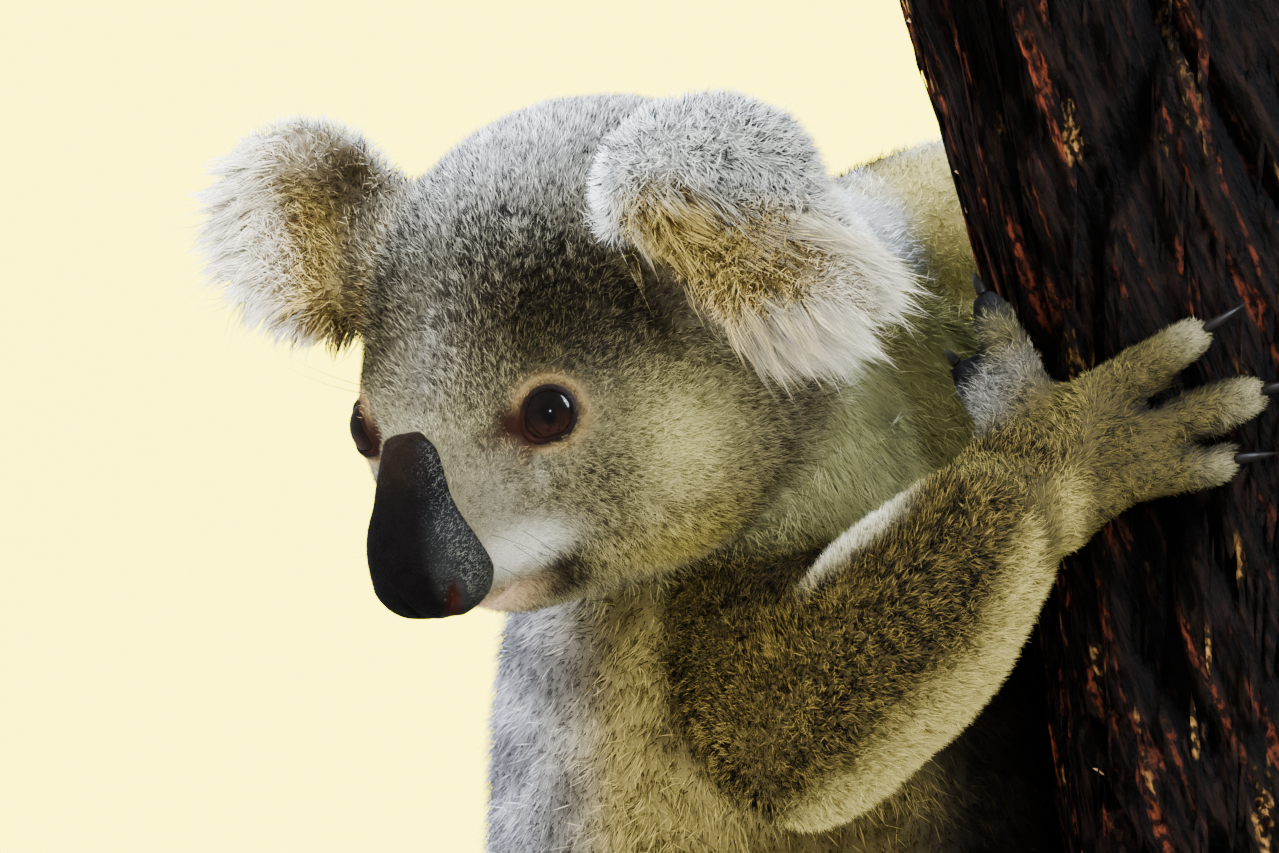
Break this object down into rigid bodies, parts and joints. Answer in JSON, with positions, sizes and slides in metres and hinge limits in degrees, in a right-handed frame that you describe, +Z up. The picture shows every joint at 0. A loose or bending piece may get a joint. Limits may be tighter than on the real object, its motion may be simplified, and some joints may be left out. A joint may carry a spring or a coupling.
{
  "type": "koala",
  "caption": "Life-size still model of a koala clinging to a cut length of tree trunk, its head turned over its shoulder, held up on a round display base by short rods.",
  "frame": {"origin": "centre of the underside of the round display base", "axes": "+Z up along the tree trunk, +X from the koala's back towards the trunk, +Y from the koala's right side to its left; the face looks towards -X and -Y, and down"},
  "size_m": [0.493, 0.43, 0.666],
  "materials": {
    "coat_grey": "dense soft grizzled fur",
    "coat_pale": "long soft cream fur",
    "nose_leather": "fine-pored, slightly moist black leather",
    "eye": "wet, glossy dark brown",
    "claw": "smooth black horn",
    "bark": "rough furrowed bark",
    "stand": "fine satin paint",
    "rod": "brushed"
  },
  "bodies": {
    "root": {"claw_foot_left_2": "claw", "claw_foot_left_3": "claw", "claw_foot_left_4": "claw", "claw_foot_left_5": "claw", "claw_foot_right_2": "claw", "claw_foot_right_3": "claw", "claw_foot_right_4": "claw", "claw_foot_right_5": "claw", "claw_hand_left_1": "claw", "claw_hand_left_2": "claw", "claw_hand_left_3": "claw", "claw_hand_left_4": "claw", "claw_hand_left_5": "claw", "claw_hand_right_1": "claw", "claw_hand_right_2": "claw", "claw_hand_right_3": "claw", "claw_hand_right_4": "claw", "claw_hand_right_5": "claw", "ear_left": "coat_pale", "ear_right": "coat_pale", "eye_left": "eye", "eye_right": "eye", "foot_left": "coat_grey", "foot_right": "coat_grey", "forearm_left": "coat_grey", "forearm_right": "coat_grey", "hand_left": "coat_grey", "hand_right": "coat_grey", "head": "coat_grey", "neck": "coat_pale", "nose": "nose_leather", "perch_trunk": "bark", "shank_left": "coat_grey", "shank_right": "coat_grey", "stand_base": "stand", "stand_rod_left": "rod", "stand_rod_right": "rod", "thigh_left": "coat_grey", "thigh_right": "coat_grey", "torso": "coat_grey", "upper_arm_left": "coat_grey", "upper_arm_right": "coat_grey"}
  },
  "joints": []
}
